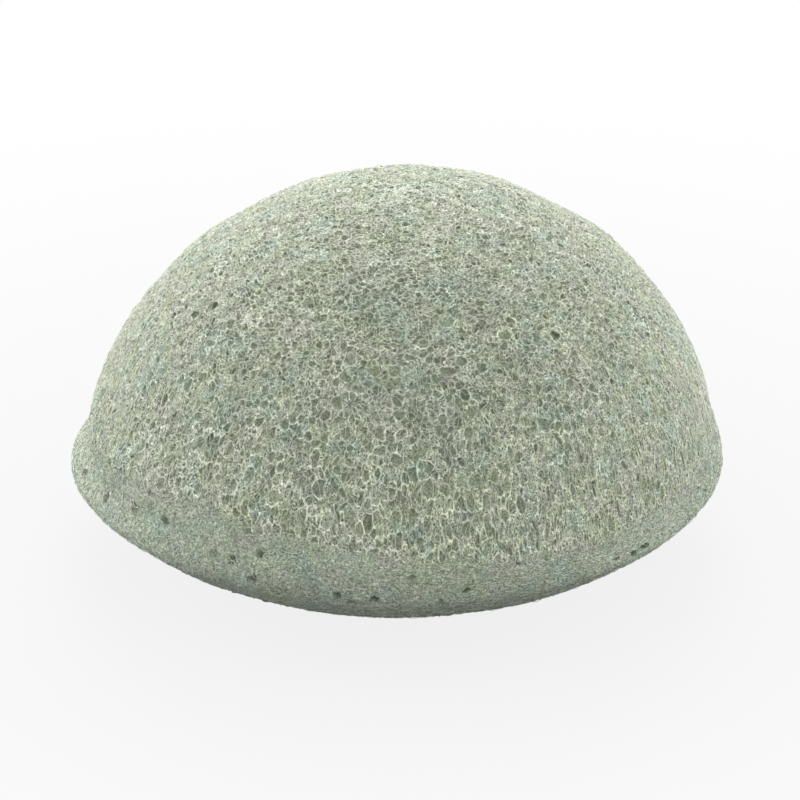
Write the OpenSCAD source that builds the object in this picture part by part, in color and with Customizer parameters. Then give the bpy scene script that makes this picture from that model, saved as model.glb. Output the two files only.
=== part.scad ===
// Half-ball face sponge of open-celled konjac foam, resting on its rounded underside.
// One moulding in four zones of foam that are grown together face to face: a coarse-celled
// dome, a rim at the mould's parting line, a fine-celled base and the close-celled middle.

/* [Outline] */
// Width across the rim, the widest place
sponge_d = 80; // [66:1:100]
// Height from the resting face to the top of the dome
sponge_h = 46.7; // [38:0.1:60]
// Width of the flat that the sponge rests on
rest_d = 26; // [16:1:36]

/* [Rim] */
// Height of the widest place above the resting face
rim_z = 11.2; // [10:0.1:14]
// Height of the crease above the widest place
band_h = 4.7; // [3.5:0.1:8]
// Radius of the rounded lip at the widest place
lip_round = 2; // [1:0.1:2.6]
// How far the dome's edge lies inside the widest place
dome_inset = 1; // [0.4:0.1:2.5]
// How far the crease is drawn in under the dome's edge
crease_depth = 0.9; // [0.3:0.1:1.6]

/* [Zones] */
// Thickness of the coarse-celled dome
dome_wall = 9; // [5:0.5:13]
// Thickness of the fine-celled base at the middle
base_t = 6.5; // [3:0.1:7]

/* [Cells] */
// Large open cells on the dome
dome_cells = 400; // [60:10:440]
// Mouth radius of the dome's widest cells
dome_cell_r = 1.3; // [0.8:0.05:1.5]
// Large open cells round the rim
rim_cells = 96; // [24:2:110]
// Mouth radius of the rim's widest cells
rim_cell_r = 0.75; // [0.4:0.05:0.9]
// Large open cells on the base's rising side
base_cells = 110; // [30:2:140]
// Mouth radius of the base's widest cells
base_cell_r = 0.75; // [0.4:0.05:0.9]

/* [Hidden] */

// Turn from one cell to the next that spreads them evenly
GOLDEN_ANGLE = 137.508;
// Smallest cell of a zone, of its widest one
small_cell_share = 0.45;
// Width of the cells by the top and by the crease, of those half way
edge_cell_share = 0.6;
// Depth of a cell, of its mouth radius
cell_depth_share = 0.85;
// How far a dome cell strays from its even place, of the way to the next cell
stray_share = 0.16;
// Where the base's cells start and end along its rising side
base_cell_shares = [0.34, 0.93];
// Where a rim cell may sit on its stretch of the rim, under or over the lip
rim_cell_shares = [0.16, 0.84];
// Seeds of the cells' sizes and places
DOME_SEED = 11;
RIM_SEED = 23;
BASE_SEED = 37;
// Steps along each arc of the outline
ARC_STEPS = 10;
ROUND_FN = 120;
CELL_FN = 16;

rim_r = sponge_d / 2;
rest_r = rest_d / 2;
crease_z = rim_z + band_h;
dome_edge_r = rim_r - dome_inset;
crease = [dome_edge_r - crease_depth, crease_z];

// The dome is a cap of the ball through its top and its edge
cap_h = sponge_h - crease_z;
dome_z = (sponge_h * sponge_h - crease_z * crease_z - dome_edge_r * dome_edge_r) / (2 * cap_h);
dome_r = sponge_h - dome_z;
core_dome_r = dome_r - dome_wall;
core_r = sqrt(core_dome_r * core_dome_r - pow(crease_z - dome_z, 2));
cell_gap = sqrt(2 * PI * dome_r * cap_h / dome_cells);

// The underside leaves the resting face level, on one arc that runs into the lip's
lip_c = [rim_r - lip_round, rim_z];
under_r = (pow(lip_c.x - rest_r, 2) + rim_z * rim_z - lip_round * lip_round)
    / (2 * (rim_z - lip_round));
under_c = [rest_r, under_r];
lip_low_angle = atan2(lip_c.y - under_c.y, lip_c.x - under_c.x);
base_top_angle = asin(base_t / under_r - 1);

// Over the lip a straight flank leads up into the crease
flank = crease - lip_c;
lip_high_angle = atan2(flank.y, flank.x) - acos(lip_round / norm(flank));
flank_foot = on_arc(lip_c, lip_round, lip_high_angle);

function on_arc(centre, r, angle) = centre + r * [cos(angle), sin(angle)];
function arc(centre, r, from, to) =
    [for (i = [0 : ARC_STEPS]) on_arc(centre, r, from + (to - from) * i / ARC_STEPS)];
function between(low, high, share) = low + (high - low) * share;
function cell_sizes(count, widest, seed) = rands(small_cell_share * widest, widest, count, seed);

// A cell's mouth lies on the skin at z = 0, and the ball that opens it reaches below
module cell(mouth_r) {
    depth = cell_depth_share * mouth_r;
    ball_r = (mouth_r * mouth_r + depth * depth) / (2 * depth);
    translate([0, 0, ball_r - depth]) sphere(ball_r, $fn = CELL_FN);
}

// Carries a cell to a point of the outline, with its mouth square to the skin there
module on_skin(point, normal_angle, turn) {
    rotate(turn) translate([point.x, 0, point.y]) rotate([0, 90 - normal_angle, 0]) children();
}

module dome_cells() {
    sizes = cell_sizes(dome_cells, dome_cell_r, DOME_SEED);
    strays = rands(-stray_share * cell_gap, stray_share * cell_gap, 2 * dome_cells, DOME_SEED + 1);
    for (i = [0 : dome_cells - 1]) {
        share = (i + 0.5) / dome_cells;
        even_z = between(crease_z + 2 * dome_cell_r, sponge_h, share);
        z = min(even_z + strays[2 * i], even_z);
        angle = asin((z - dome_z) / dome_r);
        point = on_arc([0, dome_z], dome_r, angle);
        turn = i * GOLDEN_ANGLE + atan(strays[2 * i + 1] / point.x);
        size = sizes[i] * between(edge_cell_share, 1, sin(180 * share));
        on_skin(point, angle, turn) cell(size);
    }
}

module rim_cells() {
    sizes = cell_sizes(rim_cells, rim_cell_r, RIM_SEED);
    places = rands(rim_cell_shares[0], rim_cell_shares[1], rim_cells, RIM_SEED + 1);
    for (i = [0 : rim_cells - 1]) {
        turn = 360 * i / rim_cells;
        under_angle = between(base_top_angle, lip_low_angle, places[i]);
        if (i % 2 == 0)
            on_skin(between(flank_foot, crease, places[i]), lip_high_angle, turn) cell(sizes[i]);
        else
            on_skin(on_arc(under_c, under_r, under_angle), under_angle, turn) cell(sizes[i]);
    }
}

module base_cells() {
    sizes = cell_sizes(base_cells, base_cell_r, BASE_SEED);
    for (i = [0 : base_cells - 1]) {
        place = between(base_cell_shares[0], base_cell_shares[1], (i + 0.5) / base_cells);
        angle = between(-90, base_top_angle, place);
        on_skin(on_arc(under_c, under_r, angle), angle, i * GOLDEN_ANGLE) cell(sizes[i]);
    }
}

// Coarse, open cells over the whole top
module dome_foam() {
    color("#a9bb8f") difference() {
        translate([0, 0, dome_z]) sphere(dome_r, $fn = ROUND_FN);
        translate([0, 0, crease_z - 2 * dome_r]) cylinder(h = 2 * dome_r, r = 2 * dome_r);
        translate([0, 0, dome_z]) sphere(core_dome_r, $fn = ROUND_FN);
        dome_cells();
    }
}

// Closer foam along the mould's parting line, with the rounded lip
module rim_lip() {
    color("#8d9c6f") difference() {
        rotate_extrude($fn = ROUND_FN) polygon(concat(
            [[core_r, base_t]],
            arc(under_c, under_r, base_top_angle, lip_low_angle),
            arc(lip_c, lip_round, lip_low_angle, lip_high_angle),
            [crease, [core_r, crease_z]]
        ));
        rim_cells();
    }
}

// Even, close cells in the middle, seated on the base inside the rim and the dome
module foam_core() {
    color("#c3cfb0") {
        intersection() {
            translate([0, 0, dome_z]) sphere(core_dome_r, $fn = ROUND_FN);
            translate([0, 0, crease_z]) cylinder(h = dome_r, r = dome_r);
        }
        translate([0, 0, base_t]) cylinder(h = crease_z - base_t, r = core_r, $fn = ROUND_FN);
    }
}

// Fine-celled underside, flat where it rests
module base_pad() {
    color("#6f7d55") difference() {
        rotate_extrude($fn = ROUND_FN) polygon(concat(
            [[0, 0]],
            arc(under_c, under_r, -90, base_top_angle),
            [[0, base_t]]
        ));
        base_cells();
    }
}

dome_foam();
rim_lip();
foam_core();
base_pad();
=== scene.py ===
# %% [markdown]
# # A konjac sponge
# The object is a half ball of moist konjac foam, resting on its rounded underside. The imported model
# gives four plain zones of foam: a dome, a rim, a base and a core. This script dresses them with the
# open cells that the real foam has, as real geometry, and gives each zone its own foam finish.

# %% Load the frame
import math
from types import SimpleNamespace

import bpy
import numpy as np
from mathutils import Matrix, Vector
from mathutils.kdtree import KDTree


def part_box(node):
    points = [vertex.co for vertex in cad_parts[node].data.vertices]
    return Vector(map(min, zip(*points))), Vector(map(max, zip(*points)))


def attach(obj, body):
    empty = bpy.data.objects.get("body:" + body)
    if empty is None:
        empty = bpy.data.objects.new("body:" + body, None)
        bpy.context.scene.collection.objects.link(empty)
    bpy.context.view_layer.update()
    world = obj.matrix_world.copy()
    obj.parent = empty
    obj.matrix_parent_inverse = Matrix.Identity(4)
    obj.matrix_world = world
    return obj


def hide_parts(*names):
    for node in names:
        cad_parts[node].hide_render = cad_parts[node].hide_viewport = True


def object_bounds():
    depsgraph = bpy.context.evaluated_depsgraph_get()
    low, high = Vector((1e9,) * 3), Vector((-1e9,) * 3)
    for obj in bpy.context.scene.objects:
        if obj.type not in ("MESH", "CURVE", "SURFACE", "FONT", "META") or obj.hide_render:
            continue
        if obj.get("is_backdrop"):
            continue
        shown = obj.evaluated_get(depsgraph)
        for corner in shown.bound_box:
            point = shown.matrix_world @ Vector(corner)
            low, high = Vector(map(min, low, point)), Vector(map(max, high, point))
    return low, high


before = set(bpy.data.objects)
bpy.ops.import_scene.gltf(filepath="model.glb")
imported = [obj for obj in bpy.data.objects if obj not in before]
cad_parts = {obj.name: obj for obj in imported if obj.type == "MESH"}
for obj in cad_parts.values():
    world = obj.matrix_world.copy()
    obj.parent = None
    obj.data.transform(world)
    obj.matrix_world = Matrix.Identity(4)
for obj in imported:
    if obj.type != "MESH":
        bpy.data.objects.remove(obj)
cad_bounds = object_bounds()
MM = 0.001
print("packed model, in mm:", np.round(np.array(cad_bounds) / MM, 1).tolist())

# %% [markdown]
# The sponge's outline is a curve turned about the upright axis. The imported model's boxes give most of
# its sizes. The resting face, the height of the widest place and the roundness of the lip are named
# here. The dome is the cap of a ball through its top and its edge, and the underside is one arc that
# leaves the resting face level and runs into the lip. The crease is drawn shallower than in the model.

# %% Sizes from the frame
dome_low, dome_high = (np.array(p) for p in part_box("dome_foam"))
_, rim_high = (np.array(p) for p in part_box("rim_lip"))
_, base_high = (np.array(p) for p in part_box("base_pad"))
_, core_high = (np.array(p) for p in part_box("foam_core"))

TOP_Z = dome_high[2]
CREASE_Z = dome_low[2]
DOME_EDGE_R = dome_high[0]
RIM_R = rim_high[0]
BASE_TOP_Z = base_high[2]
CORE_R = core_high[0]
REST_R = 13 * MM
RIM_Z = 11.2 * MM
LIP_ROUND = 2 * MM
CREASE_DEPTH = 0.3 * MM

dome_ball_z = (TOP_Z**2 - CREASE_Z**2 - DOME_EDGE_R**2) / (2 * (TOP_Z - CREASE_Z))
dome_ball_r = TOP_Z - dome_ball_z
CORE_BALL_R = core_high[2] - dome_ball_z
lip_centre = np.array([RIM_R - LIP_ROUND, RIM_Z])
under_r = ((lip_centre[0] - REST_R) ** 2 + RIM_Z**2 - LIP_ROUND**2) / (2 * (RIM_Z - LIP_ROUND))
under_centre = np.array([REST_R, under_r])
print(f"dome ball {dome_ball_r / MM:.2f} mm, underside arc {under_r / MM:.2f} mm")

# %% [markdown]
# Foam cells are easiest to lay out on a flat sheet. A body of revolution can be unrolled on to a disc
# with no shear: a ring at distance s from the pole goes to the radius exp(integral of ds / r). Round
# cells on the disc are then round on the sponge, only larger or smaller. A squeeze other than 1 makes
# them longer round the sponge, or longer up and down, as in foam that was pressed as it set.

# %% Charts of the skin
STEP = 0.05 * MM


def arc(centre, radius, start, end):
    """Points along an arc, by angles in radians."""
    turn = np.linspace(start, end, max(2, round(abs(end - start) * radius / STEP)))
    return centre + radius * np.stack([np.cos(turn), np.sin(turn)], 1)


def line(start, end):
    share = np.linspace(0, 1, max(2, round(math.dist(start, end) / STEP)))[:, None]
    return np.asarray(start) * (1 - share) + np.asarray(end) * share


def chart(points, outward, squeeze):
    """An outline from its pole outwards, with the disc that its skin unrolls on to."""
    keep = np.concatenate([[True], np.hypot(*np.diff(points, axis=0).T) > STEP / 10])
    r, z = points[keep].T
    step = np.hypot(np.diff(r), np.diff(z))
    s = np.concatenate([[0], np.cumsum(step)])
    middle = np.interp((s[1:] + s[:-1]) / 2, s, squeeze(z, s)) * step / ((r[1:] + r[:-1]) / 2)
    disc = np.concatenate([[0, r[1]], r[1] * np.exp(np.cumsum(middle[1:]))])
    along = np.stack([np.gradient(r, s), np.gradient(z, s)])
    along /= np.hypot(*along)
    return SimpleNamespace(r=r, z=z, s=s, disc=disc, outward=outward,
                           normal=outward * np.stack([-along[1], along[0]]))


def spot(skin, flat):
    """Where on the outline a point of the disc lies, and its turn round the sponge."""
    return np.interp(np.hypot(*flat.T), skin.disc, skin.s), np.arctan2(flat[:, 1], flat[:, 0])


def scale(skin, flat):
    """How much larger the disc shows a length, measured round the sponge."""
    s, _ = spot(skin, flat)
    return np.hypot(*flat.T) / np.maximum(np.interp(s, skin.s, skin.r), STEP)


EDGE_MARGIN = 3 * MM
TUCK = 1 * MM
edge_angle = math.acos((CREASE_Z - dome_ball_z) / dome_ball_r)
past_edge = edge_angle + EDGE_MARGIN / dome_ball_r
dome_points = arc(np.array([0, dome_ball_z]), dome_ball_r, math.pi / 2, math.pi / 2 - past_edge)
TALL_CELLS, FLAT_CELLS = 0.56, 1.3
dome_skin = chart(dome_points, 1, lambda z, s: np.interp(
    z, CREASE_Z + np.array([0, 6, 16, 24]) * MM, [TALL_CELLS, TALL_CELLS, 0.9, FLAT_CELLS]))
dome_skin.edge = dome_ball_r * edge_angle
dome_skin.swell = 0.12 * MM
dome_skin.sink = 0.35 * MM

crease = np.array([DOME_EDGE_R - CREASE_DEPTH, CREASE_Z])
low_turn = math.atan2(*(lip_centre - under_centre)[::-1])
flank = crease - lip_centre
high_turn = math.atan2(*flank[::-1]) - math.acos(LIP_ROUND / np.hypot(*flank))
flank_foot = lip_centre + LIP_ROUND * np.array([math.cos(high_turn), math.sin(high_turn)])
past_crease = crease + (crease - flank_foot) / math.dist(crease, flank_foot) * EDGE_MARGIN
skirt_points = np.concatenate([
    line([0, 0], [REST_R, 0]),
    arc(under_centre, under_r, -math.pi / 2, low_turn),
    arc(lip_centre, LIP_ROUND, low_turn, high_turn),
    line(flank_foot, past_crease),
])
WIDE_CELLS = 1.35
skirt_skin = chart(skirt_points, -1, lambda z, s: np.full(len(z), WIDE_CELLS))
skirt_skin.edge = skirt_skin.s[-1] - EDGE_MARGIN
skirt_skin.swell = 0.04 * MM
skirt_skin.sink = 0
skirt_skin.base_edge = np.interp(BASE_TOP_Z, skirt_skin.z, skirt_skin.s)
for name, skin in {"dome": dome_skin, "skirt": skirt_skin}.items():
    print(f"{name} skin: {skin.s[-1] / MM:.1f} mm from pole to edge")

# %% [markdown]
# No moulded foam is perfectly round. A few long, soft waves, added together at random, make a swell
# that looks natural and costs nothing. The same waves later decide where the foam is a little coarser
# or finer.

# %% Soft waves
WAVES = 14


def waves(places, length, seed):
    """A smooth random field over places in space, mostly between -1 and 1."""
    rng = np.random.default_rng(seed)
    way = rng.normal(size=(WAVES, 3))
    way *= (2 * np.pi / length * rng.uniform(0.6, 1.4, WAVES) / np.linalg.norm(way, axis=1))[:, None]
    start = rng.uniform(0, 2 * np.pi, WAVES)
    return sum(np.cos(places @ w + s) for w, s in zip(way, start)) * math.sqrt(2 / WAVES)


# %% [markdown]
# The sponge isn't quite a turned shape. Its crease waves and has a notch, its top leans a little, its
# lip bulges at one side, its shoulder is flatter, and its rim lifts. Every point goes through the same
# small moves, so pieces that met before still meet after.

# %% Places on the sponge
TOP_LEAN = 0.65 * MM
# Each swelling or dent: how far out, round which height and how far up and down, round which turn and
# how far about
LIP_BULGE = (0.95 * MM, 10.6 * MM, 1.8 * MM, np.pi, 0.42)
CREASE_NOTCH = (-0.7 * MM, 14.5 * MM, 1.6 * MM, np.pi, 0.6)
FLAT_SHOULDER = (-0.8 * MM, 41 * MM, 3.5 * MM, 2.6, 0.6)
CREASE_DIP, CREASE_WAVE, CREASE_LIFT = 0.6 * MM, 1.9 * MM, 2.8 * MM
CREASE_ABOVE, CREASE_BELOW = 5 * MM, 3.5 * MM
FRONT_BULGE = 0.35 * MM
RIM_TILT = 0.75 * MM
SWELL_LENGTH = 15 * MM
SWELL_SEED = 3
SINK_REACH = 1.2 * MM
WOBBLE, WOBBLE_LENGTH = 0.12 * MM, 2.6 * MM


def on_skin(skin, flat):
    """Points of the disc as places on the plain outline, with their lengths from the pole and turns."""
    s, turn = spot(skin, flat)
    r, z = np.interp(s, skin.s, skin.r), np.interp(s, skin.s, skin.z)
    return np.stack([r * np.cos(turn), r * np.sin(turn), z], 1), s, turn


def on_body(skin, flat, height):
    """Points of the disc as places on the sponge, pulled aside a little and raised by height."""
    ground, _, _ = on_skin(skin, flat)
    aside = np.stack([waves(ground, WOBBLE_LENGTH, SWELL_SEED + k) for k in (1, 2)], 1)
    ground, s, turn = on_skin(skin, flat + WOBBLE * aside * scale(skin, flat)[:, None])
    height = height + skin.swell * waves(ground, SWELL_LENGTH, SWELL_SEED)
    height = height - skin.sink * np.exp(-np.clip(skin.edge - s, 0, None) / SINK_REACH)
    r, z = np.hypot(*ground[:, :2].T), ground[:, 2]
    r = r + height * np.interp(s, skin.s, skin.normal[0])
    z = z + height * np.interp(s, skin.s, skin.normal[1])
    return settled(np.stack([r * np.cos(turn), r * np.sin(turn), z], 1))


def swollen(z, turn, out, middle_z, reach, middle_turn, turn_reach):
    """How far one swelling, or one dent, moves places outward."""
    off_turn = np.angle(np.exp(1j * (turn - middle_turn)))
    return out * np.exp(-(((z - middle_z) / reach) ** 2) - (off_turn / turn_reach) ** 2)


def settled(places):
    """Places moved as the sponge set: its crease, its lean, its swellings and dents, and its tilt."""
    x, y, z = places.T
    turn = np.arctan2(y, x)
    wave = np.sin(2 * (turn + np.pi / 2))
    dip = CREASE_DIP + np.where(wave > 0, CREASE_WAVE, CREASE_LIFT) * wave
    reach = np.where(z > CREASE_Z, CREASE_ABOVE, CREASE_BELOW)
    z = z - dip * np.exp(-(((z - CREASE_Z) / reach) ** 2))
    top = np.clip((z - CREASE_Z) / (TOP_Z - CREASE_Z), 0, 1)
    bulge = sum(swollen(z, turn, *place) for place in (LIP_BULGE, CREASE_NOTCH, FLAT_SHOULDER))
    front = FRONT_BULGE * np.sin(np.clip(z / CREASE_Z, 0, 1) * np.pi) * np.clip(-np.sin(turn), 0, 1) ** 2
    r = np.hypot(x, y) + bulge + front
    tilt = RIM_TILT * np.clip(x / RIM_R, 0, 1) ** 2 * np.clip(z / (RIM_Z / 2), 0, 1) * (1 - top)
    return np.stack([r * np.cos(turn) + TOP_LEAN * top, r * np.sin(turn), np.maximum(z + tilt, 0)], 1)


# %% [markdown]
# Foam is packed bubbles of very different widths. Large bubbles are placed first, and smaller ones
# fill what is left, as when they rise in the mould. No bubble overlaps another by more than a little.

# %% Scatter the bubbles


def scattered(skin, count, rng):
    """Points spread evenly over the skin, as places on its disc."""
    area = np.concatenate([[0], np.cumsum((skin.r[1:] + skin.r[:-1]) / 2 * np.diff(skin.s))])
    s = np.interp(rng.random(count) * area[-1], area, skin.s)
    turn = rng.random(count) * 2 * np.pi
    disc = np.interp(s, skin.s, skin.disc)
    return disc[:, None] * np.stack([np.cos(turn), np.sin(turn)], 1)


def tree_of(points):
    tree = KDTree(len(points))
    for i, point in enumerate(points.tolist()):
        tree.insert(point, i)
    tree.balance()
    return tree


def flat_points(flat, third):
    return np.column_stack([flat, np.broadcast_to(third, len(flat))])


def free_places(flat, radii, taken, taken_radii, overlap):
    """Which bubbles can stay: those clear of the taken ones and of the earlier ones."""
    every = flat_points(np.concatenate([taken, flat]), 0)
    wide = np.concatenate([taken_radii, radii])
    tree = tree_of(every)
    first = len(taken)
    reach = (wide + radii.max()) * overlap
    stays = [True] * len(every)
    size = wide.tolist()
    for i, point in enumerate(every.tolist()):
        if not stays[i]:
            continue
        for _, j, gap in tree.find_range(point, reach[i]):
            if j > i and j >= first and gap < (size[i] + size[j]) * overlap:
                stays[j] = False
    return np.array(stays[first:])


def bubbles(skin, sorts, coarseness, rng):
    """Bubbles of several sorts, widest first. Each sort has a count, a range of radii and an overlap."""
    flat, radii, sizes = np.empty((0, 2)), np.empty(0), np.empty(0)
    for count, low, high, overlap in sorts:
        new = scattered(skin, count, rng)
        size = rng.uniform(low, high, count) * coarseness(skin, new)
        order = np.argsort(-size)
        new, size = new[order], size[order]
        new_radii = size * scale(skin, new)
        stays = free_places(new, new_radii, flat, radii, overlap)
        flat = np.concatenate([flat, new[stays]])
        radii = np.concatenate([radii, new_radii[stays]])
        sizes = np.concatenate([sizes, size[stays]])
    return flat, radii, sizes


# %% [markdown]
# Where bubbles meet, they press each other flat. The places that are as near to one bubble as to the
# next, measured from the bubbles' own skins, draw a net of straight walls round them: a power diagram.
# Each corner of the net belongs to three bubbles, so it is found by solving for the point that three
# neighbours share, and keeping it if no fourth bubble is nearer.

# %% Walls between the bubbles
NEIGHBOURS = 24
NEARLY_ZERO = 1e-9
# A bubble wider than this stays where it was placed, and is a cluster of its own
WIDE_CELL = 0.42 * MM


def neighbours(flat, radii):
    """Each bubble's nearest others. A wide bubble counts as nearer than a narrow one."""
    tree = tree_of(flat_points(flat, np.sqrt(radii.max() ** 2 - radii**2)))
    near = []
    for i, point in enumerate(flat_points(flat, 0).tolist()):
        others = [j for _, j, _ in tree.find_n(point, NEIGHBOURS + 1) if j != i]
        near.append(others[:NEIGHBOURS])
    return np.array(near)


def net_corners(flat, radii):
    """The corners of the net, and the three bubbles that share each."""
    near = neighbours(flat, radii)
    away = flat[near] - flat[:, None]
    reach = (away**2).sum(2) + (radii**2)[:, None] - (radii**2)[near]
    later = near > np.arange(len(flat))[:, None]
    places, owners = [], []
    for a in range(NEIGHBOURS):
        for b in range(a + 1, NEIGHBOURS):
            i = np.flatnonzero(later[:, a] & later[:, b])
            (ax, ay), (bx, by) = away[i, a].T, away[i, b].T
            cross = 2 * (ax * by - ay * bx)
            with np.errstate(divide="ignore", invalid="ignore"):
                x = (reach[i, a] * by - reach[i, b] * ay) / cross
                y = (reach[i, b] * ax - reach[i, a] * bx) / cross
                least = reach[i] - 2 * (away[i, :, 0] * x[:, None] + away[i, :, 1] * y[:, None])
            limit = -NEARLY_ZERO * np.abs(reach[i]).max(1, keepdims=True)
            good = np.isfinite(x) & (least > limit).all(1)
            places.append(np.stack([x, y], 1)[good] + flat[i[good]])
            owners.append(np.stack([i[good], near[i[good], a], near[i[good], b]], 1))
    return np.concatenate(places), np.concatenate(owners)


def net(flat, radii):
    """The corners of the net, and for each bubble its corners in turn round its middle."""
    corners, owners = net_corners(flat, radii)
    cell = owners.T.ravel()
    corner = np.tile(np.arange(len(corners)), 3)
    count = np.bincount(cell, minlength=len(flat))
    middle = np.stack([np.bincount(cell, corners[corner, k], len(flat)) for k in (0, 1)], 1)
    middle /= np.maximum(count, 1)[:, None]
    off = corners[corner] - middle[cell]
    order = np.lexsort((np.arctan2(off[:, 1], off[:, 0]), cell))
    ring = corner[order]
    start = np.concatenate([[0], np.cumsum(count)[:-1]])
    following = np.arange(len(ring)) + 1
    following[(start + count)[count > 0] - 1] = start[count > 0]
    ends = np.sort(np.stack([ring, ring[following]], 1), axis=1)
    sides, side = np.unique(ends, axis=0, return_inverse=True)
    return SimpleNamespace(corners=corners, owners=owners, ring=ring, start=start, count=count,
                           middle=middle, sides=sides, ring_side=side.ravel())


def foamed(skin, sorts, coarseness, seed):
    """The net of a skin's bubbles, after the small ones have moved to the middles of their cells."""
    rng = np.random.default_rng(seed)
    flat, radii, size = bubbles(skin, sorts, coarseness, rng)
    cells = net(flat, radii)
    s, _ = spot(skin, flat)
    moves = (size < WIDE_CELL) & (cells.count > 2) & (s < skin.s[-1] - EDGE_MARGIN / 3)
    flat = np.where(moves[:, None], cells.middle, flat)
    cells = net(flat, radii)
    cells.flat, cells.size = flat, size
    cells.scale = scale(skin, flat)
    cells.s, cells.turn = spot(skin, flat)
    return cells


# %% [markdown]
# The dome has the widest cells, most of all half way up at the front. Each sort of bubble is a number
# to try, the least and greatest radius, and how far apart two must stand, of their radii together.

# %% Foam of the dome
DOME_SEED = 5
PATCH_LENGTH = 11 * MM
# How calm the foam is, by places across and by heights in millimetres
CALM_ACROSS = ([-34, -18, 4, 26], [0.42, 0, 0, 0.5])
CALM_UPWARD = ([22, 36], [1, 0])


def calm(places):
    """How much fainter the foam is in places: most low down at the sides."""
    x, _, z = places.T / MM
    return np.interp(x, *CALM_ACROSS) * np.interp(z, *CALM_UPWARD)


def dome_coarseness(skin, flat):
    """Cells are widest half way up at the front, closer elsewhere, and vary in patches."""
    ground, s, turn = on_skin(skin, flat)
    middle = np.sin(np.clip(s / skin.edge, 0, 1) ** 1.3 * np.pi * 0.8)
    front = np.clip(-np.sin(turn), 0, 1) ** 2
    patches = waves(ground, PATCH_LENGTH, DOME_SEED)
    return 0.75 + 0.35 * middle * front + 0.1 * patches.clip(-1.5, 1.5) - 0.25 * calm(ground)


dome_sorts = [
    (80, 0.72 * MM, 0.95 * MM, 1.4),
    (750, 0.48 * MM, 0.72 * MM, 1.2),
    (2600, 0.36 * MM, 0.48 * MM, 1.05),
    (9000, 0.26 * MM, 0.36 * MM, 0.98),
    (50000, 0.18 * MM, 0.26 * MM, 0.9),
]
dome_cells = foamed(dome_skin, dome_sorts, dome_coarseness, DOME_SEED)
print(f"dome: {len(dome_cells.flat)} cells, {np.bincount(dome_cells.count).tolist()} by corners")

# %% [markdown]
# The rim and the base share one skin, with closer cells than the dome's and a few wide ones.

# %% Foam of the rim and the base
SKIRT_SEED = 9


def skirt_coarseness(skin, flat):
    ground, _, _ = on_skin(skin, flat)
    return 1 + 0.12 * waves(ground, PATCH_LENGTH, SKIRT_SEED).clip(-1.5, 1.5)


skirt_sorts = [
    (380, 0.42 * MM, 0.66 * MM, 1.3),
    (1300, 0.28 * MM, 0.4 * MM, 1.1),
    (9000, 0.2 * MM, 0.28 * MM, 0.95),
    (26000, 0.15 * MM, 0.2 * MM, 0.88),
]
skirt_cells = foamed(skirt_skin, skirt_sorts, skirt_coarseness, SKIRT_SEED)
print(f"skirt: {len(skirt_cells.flat)} cells")

# %% [markdown]
# The core is hidden inside, so its cells are fewer and larger.

# %% Foam of the core
core_angle = math.asin((CREASE_Z - dome_ball_z) / CORE_BALL_R)
core_points = np.concatenate([
    arc(np.array([0, dome_ball_z]), CORE_BALL_R, math.pi / 2, core_angle),
    line([CORE_R, CREASE_Z], [CORE_R, BASE_TOP_Z]),
    line([CORE_R, BASE_TOP_Z], [CORE_R, BASE_TOP_Z - EDGE_MARGIN]),
])
core_skin = chart(core_points, 1, lambda z, s: np.ones(len(z)))
core_skin.edge = core_skin.s[-1] - EDGE_MARGIN
core_skin.swell, core_skin.sink = 0, 0
core_sorts = [
    (700, 0.9 * MM, 1.5 * MM, 1.0),
    (3000, 0.6 * MM, 0.9 * MM, 0.95),
]
core_cells = foamed(core_skin, core_sorts, lambda skin, flat: np.ones(len(flat)), SKIRT_SEED + 1)
print(f"core: {len(core_cells.flat)} cells")

# %% [markdown]
# Small bubbles come in clusters that share one stout thread, with thinner and lower threads inside.
# So each corner of the net gets a height and a thickness: those between clusters, or round a wide
# bubble, stand proud, and the ones inside a cluster are sunk. A wide bubble is a cluster of its own.

# %% Clusters and threads
THREAD_W = 0.11 * MM
STOUT_LENGTH, STOUT_SEED = 1.6 * MM, 6
OUTER_STOUT, INNER_STOUT = (0.65, 1.1), (0.1, 0.5)


def clusters(skin, cells, spacing, rng):
    """The number of each cell's cluster."""
    small = np.flatnonzero(cells.size < WIDE_CELL)
    places = on_body(skin, cells.flat, 0)
    area = np.pi * (cells.size**2).sum()
    seeds = rng.choice(small, min(round(area / spacing**2), len(small)), replace=False)
    tree = tree_of(places[seeds])
    cluster = len(seeds) + np.arange(len(cells.flat))
    cluster[small] = [tree.find(places[i])[1] for i in small]
    return cluster


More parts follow.
